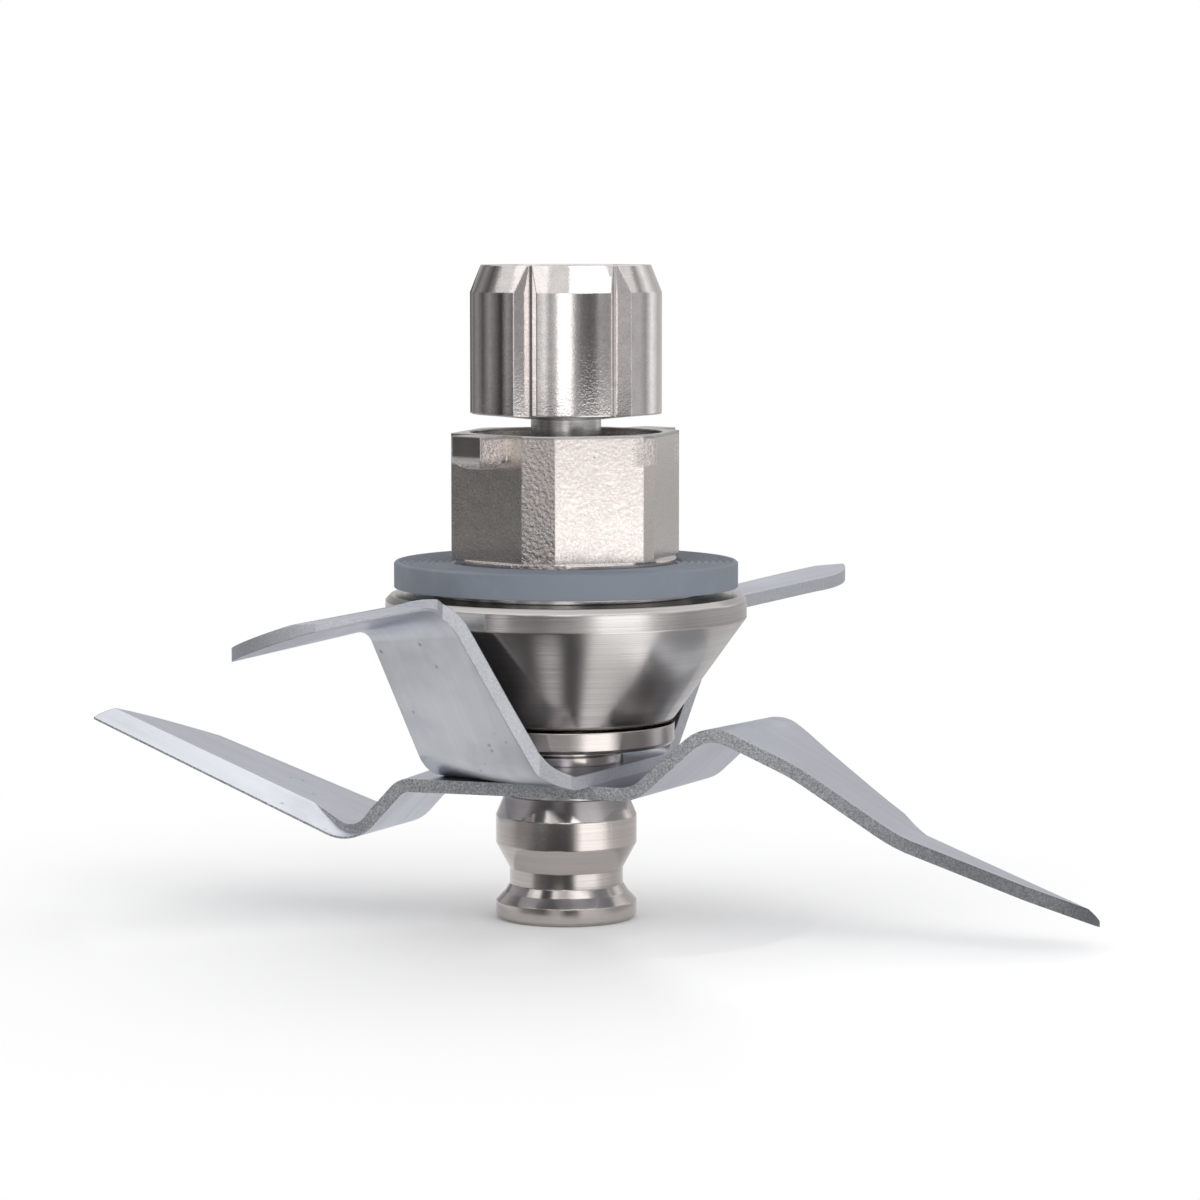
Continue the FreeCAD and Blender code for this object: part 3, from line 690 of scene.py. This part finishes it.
@dataclass(frozen=True)
class Elastomer:
    """Matt silicone or rubber with a fine moulded skin and a little dust."""

    name: str
    base: Colour
    dusty: Colour
    roughness: float = 0.62
    rough_spread: float = 0.12
    smudge_share: float = 0.5
    pit_share: float = 0.6
    edge: float = 0.15 * MM
    skin_depth: float = 0.01 * MM
    skin_strength: float = 0.5

    def build(self, effects: Effects) -> bpy.types.Material:
        """Make the material.

        Args:
            effects: the shared effects.

        Returns:
            The material.
        """
        surface = Surface(self.name, self.base, metallic=0.0, roughness=self.roughness)
        graph = surface.graph
        marks = surface.effect(effects.handling, Pits=700.0, Smudges=130.0)
        skin = surface.effect(effects.cast_skin, Dimples=3200.0)
        tint = graph.stained(self.base, marks["Smudge"], self.smudge_share, self.dusty)
        surface.colour(graph.stained(tint, marks["Pits"], self.pit_share, self.dusty))
        surface.roughness(graph.added(self.roughness - self.rough_spread / 2.0,
                                      (skin["Shade"], self.rough_spread)))
        surface.rounded(self.edge)
        surface.bump(skin["Height"], self.skin_depth, self.skin_strength)
        return surface.finished()


class Wardrobe:
    """All finishes of the unit, each built once."""

    def __init__(self, effects: Effects) -> None:
        """Build the finishes that need no sizes from the imported solids.

        Args:
            effects: the shared effects.
        """
        self.effects = effects
        self.polished = TurnedSteel(
            "polished_turned_steel", (0.56, 0.515, 0.495), (0.28, 0.255, 0.245),
            roughness=0.12, rings=8000.0, depth=0.003 * MM, banding=0.30).build(effects)
        self.coupling = TurnedSteel(
            "polished_coupling_steel", (0.72, 0.68, 0.665), (0.34, 0.31, 0.30),
            roughness=0.045, rings=5000.0, depth=0.002 * MM, edge=0.25 * MM,
            banding=0.06, speckle=0.35).build(effects)
        self.turned = TurnedSteel("plain_turned_steel").build(effects)
        self.spring = TurnedSteel(
            "dark_spring_steel", (0.36, 0.355, 0.35), (0.2, 0.2, 0.2),
            roughness=0.32).build(effects)
        self.bearing = TurnedSteel(
            "ground_bearing_steel", (0.72, 0.72, 0.725), (0.55, 0.55, 0.56),
            roughness=0.10, rings=16000.0, depth=0.002 * MM).build(effects)
        self.brass = TurnedSteel(
            "pressed_cage_brass", (0.68, 0.53, 0.27), (0.45, 0.33, 0.14),
            roughness=0.28).build(effects)
        self.silicone = Elastomer(
            "blue_grey_silicone", (0.16, 0.182, 0.22), (0.225, 0.25, 0.29)).build(effects)
        self.rubber = Elastomer(
            "black_seal_rubber", (0.02, 0.02, 0.02), (0.07, 0.07, 0.07),
            roughness=0.5).build(effects)


def placed(name: str, data: bpy.types.ID) -> bpy.types.Object:
    """Make an object and put it in the scene.

    Args:
        name: the object's name.
        data: its mesh, lamp or camera.

    Returns:
        The object.
    """
    thing = bpy.data.objects.new(name, data)
    bpy.context.collection.objects.link(thing)
    return thing


def dress(node: str, material: bpy.types.Material) -> None:
    """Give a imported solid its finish.

    Args:
        node: the solid's name.
        material: its finish.
    """
    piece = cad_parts[node]
    if not piece.material_slots:
        piece.data.materials.append(material)
    for slot in piece.material_slots:
        slot.material = material
    LOG.info("%s is dressed in %s", node, material.name)


# Pieces made by geometry nodes


class Pattern:
    """A geometry node tree whose result becomes a plain mesh."""

    def __init__(self, name: str, sizes: dict[str, float], counts: dict[str, int]) -> None:
        """Start a tree with named inputs.

        Args:
            name: the tree's and the piece's name.
            sizes: its length inputs with their values, in metres.
            counts: its whole-number inputs with their values.
        """
        self.name = name
        self.tree = bpy.data.node_groups.new(name, "GeometryNodeTree")
        for way in ("INPUT", "OUTPUT"):
            self.tree.interface.new_socket(name="Geometry", in_out=way,
                                           socket_type="NodeSocketGeometry")
        self.values: dict[str, float] = {}
        for kind, given in (("NodeSocketFloat", sizes), ("NodeSocketInt", counts)):
            for label, value in given.items():
                socket = self.tree.interface.new_socket(name=label, in_out="INPUT",
                                                        socket_type=kind)
                self.values[socket.identifier] = value
        self.graph = Graph(self.tree)
        self.given = self.graph.node("NodeGroupInput").outputs

    def finish(self, geometry: Socket, material: bpy.types.Material, body: Body) -> bpy.types.Object:
        """Turn the tree's result into a mesh that rides on a body.

        Args:
            geometry: the socket of the finished geometry.
            material: the piece's finish.
            body: the body that it rides on.

        Returns:
            The piece.
        """
        real = self.graph.wired("GeometryNodeRealizeInstances", {0: geometry})
        painted = self.graph.wired("GeometryNodeSetMaterial",
                                   {"Geometry": real, "Material": material})
        self.graph.feed(self.graph.node("NodeGroupOutput").inputs[0], painted)
        maker = placed(self.name + "_maker", bpy.data.meshes.new(self.name))
        modifier = maker.modifiers.new(self.name, "NODES")
        modifier.node_group = self.tree
        for identifier, value in self.values.items():
            modifier[identifier] = value
        graph = bpy.context.evaluated_depsgraph_get()
        mesh = bpy.data.meshes.new_from_object(maker.evaluated_get(graph), depsgraph=graph)
        bpy.data.objects.remove(maker)
        piece = placed(self.name, mesh)
        for polygon in mesh.polygons:
            polygon.use_smooth = True
        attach(piece, body.value)
        LOG.info("%s has %d faces", self.name, len(mesh.polygons))
        return piece


@dataclass
class GarterSpring:
    """The coiled spring that presses the seal's lip on the collar's neck."""

    turns: int = 84
    points_per_turn: int = 12
    wire_points: int = 6
    wire_share: float = 0.30

    def build(self, wardrobe: Wardrobe) -> None:
        """Make the coil in place of its plain ring.

        Args:
            wardrobe: the finishes.
        """
        low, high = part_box("seal_spring")
        coil_r = (high.z - low.z) / 2.0
        wire_r = coil_r * self.wire_share
        pattern = Pattern("garter_spring", {
            "Ring Radius": high.x - coil_r, "Coil Radius": coil_r - wire_r,
            "Wire Radius": wire_r, "Height": (high.z + low.z) / 2.0,
        }, {"Turns": self.turns, "Points": self.turns * self.points_per_turn})
        graph, given = pattern.graph, pattern.given
        line = graph.wired("GeometryNodeCurvePrimitiveCircle",
                           {"Resolution": given["Points"]}, mode="RADIUS")
        index = graph.wired("GeometryNodeInputIndex", {})
        around = graph.times(graph.math("DIVIDE", index, given["Points"]), math.tau)
        wound = graph.times(around, given["Turns"])
        reach = graph.math("ADD", given["Ring Radius"],
                           graph.times(given["Coil Radius"], graph.math("COSINE", wound)))
        rise = graph.times(given["Coil Radius"], graph.math("SINE", wound))
        place = graph.vector(graph.times(reach, graph.math("COSINE", around)),
                             graph.times(reach, graph.math("SINE", around)),
                             graph.math("ADD", given["Height"], rise))
        coil = graph.wired("GeometryNodeSetPosition", {"Geometry": line, "Position": place})
        wire = graph.wired("GeometryNodeCurvePrimitiveCircle", {
            "Resolution": self.wire_points, "Radius": given["Wire Radius"]}, mode="RADIUS")
        swept = graph.wired("GeometryNodeCurveToMesh", {"Curve": coil, "Profile Curve": wire})
        piece = pattern.finish(swept, wardrobe.spring, Body.HOUSING)
        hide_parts("seal_spring")


@dataclass
class CageRivets:
    """The rivet heads that close a cage's two halves between its balls."""

    which: str
    body: Body
    count: int = 7
    head_r: float = 0.42 * MM
    head_height: float = 0.22 * MM
    head_segments: int = 12
    head_rings: int = 8

    def build(self, wardrobe: Wardrobe) -> None:
        """Make the rivet heads on both rims of the cage.

        Args:
            wardrobe: the finishes.
        """
        low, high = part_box(self.which + "_cage")
        ball_low, ball_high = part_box(self.which + "_balls")
        ball_r = (ball_high.z - ball_low.z) / 2.0
        pattern = Pattern(self.which + "_cage_rivets", {
            "Track Radius": ball_high.x - ball_r, "Head Radius": self.head_r,
            "Head Height": self.head_height, "Bottom": low.z, "Top": high.z,
        }, {"Rivets": self.count})
        graph, given = pattern.graph, pattern.given
        track = graph.wired("GeometryNodeCurvePrimitiveCircle", {
            "Resolution": given["Rivets"], "Radius": given["Track Radius"]}, mode="RADIUS")
        between = graph.wired("GeometryNodeTransform", {
            "Geometry": track, "Rotation": (0.0, 0.0, math.pi / self.count)})
        head = graph.wired("GeometryNodeMeshUVSphere", {
            "Segments": self.head_segments, "Rings": self.head_rings, "Radius": 1.0})
        scale = graph.vector(given["Head Radius"], given["Head Radius"], given["Head Height"])
        both = graph.node("GeometryNodeJoinGeometry")
        for rim in ("Bottom", "Top"):
            raised = graph.wired("GeometryNodeTransform", {
                "Geometry": between, "Translation": graph.vector(0.0, 0.0, given[rim])})
            heads = graph.wired("GeometryNodeInstanceOnPoints", {
                "Points": raised, "Instance": head, "Scale": scale})
            graph.feed(both.inputs[0], heads)
        pattern.finish(both.outputs[0], wardrobe.brass, self.body)


# Sub-assemblies


@dataclass
class Housing:
    """The cast housing with its gasket, rings, spacer and seal."""

    rim_depth: float = 0.2 * MM

    def build(self, wardrobe: Wardrobe) -> None:
        """Dress the housing's pieces and add the seal's spring.

        Args:
            wardrobe: the finishes.
        """
        _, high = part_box("bearing_housing")
        _, gasket_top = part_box("gasket")
        lug_r = max(Vector((v.co.x, v.co.y)).length
                    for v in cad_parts["bearing_housing"].data.vertices
                    if v.co.z > gasket_top.z)
        steel = CastHousingSteel().build(wardrobe.effects, gasket_top.z,
                                         high.z - self.rim_depth, lug_r)
        dress("bearing_housing", steel)
        dress("gasket", wardrobe.silicone)
        dress("shaft_seal", wardrobe.rubber)
        dress("outer_spacer", wardrobe.turned)
        dress("retaining_ring", wardrobe.spring)
        dress("seal_spring", wardrobe.spring)
        GarterSpring().build(wardrobe)


@dataclass
class Spindle:
    """The spindle with its coupling, collar, blades, washer and knob."""

    upper_heading: float = 230.0
    upper_side: Colour = (0.62, 0.63, 0.67)
    upper_side_dark: Colour = (0.50, 0.51, 0.54)
    lower_heading: float = -18.0
    lower_side: Colour = (0.70, 0.71, 0.74)
    lower_side_dark: Colour = (0.30, 0.305, 0.32)
    # Where the painted shade on the lower blade's sides starts.
    lower_side_shade_from: float = 12.0 * MM

    def build(self, wardrobe: Wardrobe) -> None:
        """Dress the turning pieces and the two blades.

        Args:
            wardrobe: the finishes.
        """
        dress("drive_coupling", wardrobe.coupling)
        for node in ("collar", "blade_knob"):
            dress(node, wardrobe.polished)
        for node in ("spindle_shaft", "inner_spacer", "blade_washer"):
            dress(node, wardrobe.turned)
        dress("shaft_clip", wardrobe.spring)
        dress("collar_o_ring", wardrobe.rubber)
        upper = BladeSheet("upper_blade_sheet", self.upper_heading, self.upper_side,
                           self.upper_side_dark)
        lower = BladeSheet("lower_blade_sheet", self.lower_heading, self.lower_side,
                           self.lower_side_dark, self.lower_side_shade_from)
        dress("upper_blade", upper.build(wardrobe.effects))
        dress("lower_blade", lower.build(wardrobe.effects))


@dataclass
class BallBearing:
    """One of the two sealed ball bearings."""

    which: str
    ball_body: Body

    def build(self, wardrobe: Wardrobe) -> None:
        """Dress the rings, balls, cage and covers, and add the cage's rivets.

        Args:
            wardrobe: the finishes.
        """
        for part in ("inner_ring", "outer_ring", "balls"):
            dress(f"{self.which}_{part}", wardrobe.bearing)
        dress(self.which + "_shields", wardrobe.spring)
        dress(self.which + "_cage", wardrobe.brass)
        CageRivets(self.which, self.ball_body).build(wardrobe)


# Studio


@dataclass(frozen=True)
class Sweep:
    """A band round the unit whose brightness changes with the heading."""

    name: str
    inner: float
    outer: float
    foot: float
    top: float
    shades: Shades
    brightest: float = 2.0
    parts: int = 96

    def build(self) -> bpy.types.Object:
        """Make the band, which only the reflections see.

        Returns:
            The band.
        """
        turns = [math.tau * k / self.parts for k in range(self.parts)]
        rings = [Vector((reach * math.cos(turn), reach * math.sin(turn), height))
                 for reach, height in ((self.inner, self.foot), (self.outer, self.top))
                 for turn in turns]
        faces = [(k, (k + 1) % self.parts, self.parts + (k + 1) % self.parts, self.parts + k)
                 for k in range(self.parts)]
        mesh = bpy.data.meshes.new(self.name)
        mesh.from_pydata(rings, [], faces)
        mesh.materials.append(self._glow())
        band = placed(self.name, mesh)
        band.visible_camera = False
        band.visible_shadow = False
        band.visible_diffuse = False
        return band

    def _glow(self) -> bpy.types.Material:
        """Make the glow, brighter and dimmer round the unit.

        Returns:
            The material.
        """
        surface = Surface(self.name, (0.0, 0.0, 0.0), metallic=0.0, roughness=1.0)
        graph = surface.graph
        ramp = graph.node("ShaderNodeValToRGB")
        stops = ramp.color_ramp.elements
        while len(stops) < len(self.shades):
            stops.new(1.0)
        for stop, (heading, shade) in zip(stops, self.shades):
            stop.position = 0.5 + heading / 360.0
            level = shade / self.brightest
            stop.color = (level, level, level, 1.0)
        x, y, _, _ = graph.axial()
        turn = graph.math("DIVIDE", graph.math("ARCTAN2", y, x), math.tau)
        graph.feed(ramp.inputs[0], graph.math("ADD", 0.5, turn))
        graph.feed(surface.shader.inputs["Emission Color"], WHITE)
        graph.feed(surface.shader.inputs["Emission Strength"],
                   graph.times(ramp.outputs[0], self.brightest))
        return surface.finished()


def upright_sweep(name: str, foot: float, top: float, shades: Shades) -> Sweep:
    """Describe a band that stands round the unit.

    Args:
        name: the band's name.
        foot: the height of its lower edge.
        top: the height of its upper edge.
        shades: its brightness at headings in degrees.

    Returns:
        The band.
    """
    return Sweep(name, BAND_REACH, BAND_REACH, foot, top, shades)


def flat_sweep(name: str, inner: float, outer: float, shades: Shades) -> Sweep:
    """Describe a band that lies just above the floor.

    Args:
        name: the band's name.
        inner: the distance of its inner edge from the axis.
        outer: the distance of its outer edge.
        shades: its brightness at headings in degrees.

    Returns:
        The band.
    """
    return Sweep(name, inner, outer, BAND_LIFT, BAND_LIFT, shades)


@dataclass(frozen=True)
class Lamp:
    """A soft square lamp that looks at the unit."""

    name: str
    place: tuple[float, float, float]
    size: float
    power: float

    def build(self, aim: Vector) -> None:
        """Hang the lamp.

        Args:
            aim: the point that it looks at.
        """
        data = bpy.data.lights.new(self.name, "AREA")
        data.size = self.size
        data.energy = self.power
        lamp = placed(self.name, data)
        lamp.location = self.place
        lamp.rotation_euler = (aim - lamp.location).to_track_quat("-Z", "Y").to_euler()


@dataclass
class Studio:
    """Pale floor, soft lamps, bands for the metal to reflect and the camera."""

    camera_distance: float = 0.462
    camera_height: float = 0.0785
    focal_px: float = 4066.0
    axis_px: float = 566.0
    horizon_px: float = 230.0
    nearest: float = 0.01
    floor_half: float = 4.0
    floor_colour: Colour = (0.93, 0.93, 0.93)
    floor_roughness: float = 0.8
    fade_from: float = 0.045
    fade_to: float = 0.13
    world_light: float = 0.90
    lit_point: tuple[float, float, float] = (0.0, 0.0, 0.04)
    lamps: tuple[Lamp, ...] = (
        Lamp("left_lamp", (-0.7, -0.5, 0.9), size=0.9, power=1.2),
        Lamp("right_lamp", (0.5, -0.7, 0.6), size=0.8, power=2.5),
        Lamp("back_lamp", (0.1, 0.9, 0.9), size=1.0, power=1.5))
    sweeps: tuple[Sweep, ...] = (
        upright_sweep("upper_sweep", BAND_SPLIT, 0.35, (
            (-180.0, 0.14), (-173.0, 0.03), (-164.0, 0.40), (-155.0, 0.08), (-146.0, 0.12),
            (-124.0, 0.50), (-116.0, 1.20), (-109.0, 0.50), (-102.0, 0.80), (-98.0, 2.00),
            (-86.0, 2.00), (-79.0, 0.50), (-72.0, 0.22), (-62.0, 0.14), (-55.0, 0.20),
            (-50.0, 0.45), (-40.0, 0.40), (-28.0, 0.60), (-19.0, 1.05), (-10.0, 0.60),
            (9.0, 0.60), (20.0, 0.40), (34.0, 1.20), (52.0, 0.60), (100.0, 0.60),
            (125.0, 0.18), (137.0, 0.32), (153.0, 0.10), (166.0, 0.36), (180.0, 0.14))),
        upright_sweep("lower_sweep", 0.0, BAND_SPLIT, (
            (-180.0, 0.02), (-165.0, 0.03), (-150.0, 0.06), (-136.0, 0.06), (-123.0, 0.03),
            (-92.0, 0.03), (-79.0, 0.55), (-70.0, 2.00), (-40.0, 2.00), (-22.0, 0.60),
            (-10.0, 0.45), (15.0, 0.58), (35.0, 0.50), (60.0, 0.34), (80.0, 0.70),
            (110.0, 0.75), (130.0, 0.42), (148.0, 0.60), (163.0, 0.03), (180.0, 0.02))),
        flat_sweep("far_sweep", 0.25, BAND_REACH, (
            (-180.0, 0.16), (-168.0, 0.16), (-150.0, 0.14), (-139.0, 0.14), (-134.0, 0.90),
            (-129.0, 0.90), (-124.0, 0.08), (-86.0, 0.06), (-77.0, 0.60), (-68.0, 1.70),
            (-44.0, 1.70), (-34.0, 0.62), (-10.0, 0.38), (10.0, 0.48), (75.0, 0.52),
            (110.0, 0.60), (160.0, 0.45), (180.0, 0.16))),
        flat_sweep("middle_sweep", 0.11, 0.25, (
            (-180.0, 0.55), (-150.0, 0.55), (-138.0, 0.75), (-128.0, 1.20), (-118.0, 0.70),
            (-104.0, 0.48), (-88.0, 0.48), (-78.0, 0.85), (-70.0, 1.85), (-46.0, 1.85),
            (-32.0, 0.20), (-12.0, 0.08), (5.0, 0.30), (40.0, 0.40), (80.0, 0.65),
            (150.0, 0.75), (180.0, 0.55))),
        flat_sweep("near_sweep", 0.056, 0.11, (
            (-180.0, 0.45), (-171.0, 0.30), (-160.0, 0.28), (-150.0, 0.26), (-138.0, 0.12),
            (-125.0, 0.08), (-110.0, 0.02), (-90.0, 0.02), (-81.0, 0.10), (-73.0, 0.85),
            (-66.0, 1.85), (-34.0, 1.80), (-20.0, 1.05), (-10.0, 0.74), (10.0, 0.66),
            (75.0, 0.66), (98.0, 0.85), (150.0, 0.70), (168.0, 0.60), (180.0, 0.45))),
        flat_sweep("web_sweep", 0.029, 0.056, (
            (-180.0, 0.80), (-160.0, 0.78), (-150.0, 0.25), (-138.0, 0.12), (-118.0, 0.05),
            (-90.0, 0.02), (-80.0, 0.12), (-70.0, 1.60), (-36.0, 1.70), (-20.0, 0.90),
            (10.0, 0.60), (90.0, 0.80), (180.0, 0.80))),
        flat_sweep("foot_sweep", 0.014, 0.029, (
            (-180.0, 0.80), (-160.0, 0.78), (-148.0, 0.28), (-118.0, 0.08), (-106.0, 0.60),
            (-99.0, 0.60), (-90.0, 0.05), (-78.0, 0.08), (-70.0, 0.90), (-50.0, 0.80),
            (-25.0, 0.40), (10.0, 0.50), (90.0, 0.80), (180.0, 0.80))))

    def build(self) -> None:
        """Make the floor, the world, the lamps, the bands and the camera."""
        self._floor()
        self._world()
        for lamp in self.lamps:
            lamp.build(Vector(self.lit_point))
        for sweep in self.sweeps:
            sweep.build()
        self._camera()

    def _floor(self) -> None:
        """A pale floor that keeps the shadow, fades to white and is clear from below."""
        half = self.floor_half
        mesh = bpy.data.meshes.new("floor")
        mesh.from_pydata([(-half, -half, 0), (half, -half, 0), (half, half, 0),
                          (-half, half, 0)], [], [(0, 1, 2, 3)])
        floor = placed("floor", mesh)
        surface = Surface("pale_floor", self.floor_colour, metallic=0.0,
                          roughness=self.floor_roughness)
        graph = surface.graph
        _, _, _, radius = graph.axial()
        faded = graph.times(graph.seen(), graph.ramp(radius, self.fade_from, self.fade_to))
        above = graph.wired("ShaderNodeMixShader", {
            0: faded, 1: surface.shader.outputs[0],
            2: graph.wired("ShaderNodeEmission", {"Color": WHITE})})
        below = graph.wired("ShaderNodeMixShader", {
            0: graph.geometry("Backfacing"), 1: above,
            2: graph.wired("ShaderNodeBsdfTransparent", {})})
        output = surface.material.node_tree.nodes["Material Output"]
        graph.feed(output.inputs["Surface"], below)
        mesh.materials.append(surface.finished())

    def _world(self) -> None:
        """White where the camera and the reflections see it, softer as a light."""
        world = bpy.data.worlds.new("studio")
        bpy.context.scene.world = world
        world.use_nodes = True
        graph = Graph(world.node_tree)
        background = world.node_tree.nodes["Background"]
        graph.feed(background.inputs["Color"], WHITE)
        graph.feed(background.inputs["Strength"],
                   graph.added(self.world_light, (graph.seen(), 1.0 - self.world_light)))

    def _camera(self) -> None:
        """The camera, aimed so that the axis and the horizon fall where they do."""
        data = bpy.data.cameras.new("camera")
        data.sensor_width = SENSOR_MM
        data.lens = SENSOR_MM * self.focal_px / PHOTO_PX
        data.clip_start = self.nearest
        camera = placed("camera", data)
        camera.location = (0.0, -self.camera_distance, self.camera_height)
        right = (PHOTO_PX / 2.0 - self.axis_px) / self.focal_px
        down = (PHOTO_PX / 2.0 - self.horizon_px) / self.focal_px
        aim = Vector((right, 1.0, -down))
        camera.rotation_euler = aim.to_track_quat("-Z", "Y").to_euler()
        bpy.context.scene.camera = camera


def main() -> None:
    """Build the unit's looks and the studio."""
    logging.basicConfig(level=logging.INFO, format="%(name)s: %(message)s")
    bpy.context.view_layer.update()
    wardrobe = Wardrobe(Effects())
    Housing().build(wardrobe)
    Spindle().build(wardrobe)
    BallBearing("lower", Body.LOWER_BALLS).build(wardrobe)
    BallBearing("upper", Body.UPPER_BALLS).build(wardrobe)
    Studio().build()
    bpy.context.scene.view_settings.view_transform = "Standard"


if __name__ == "__main__":
    main()
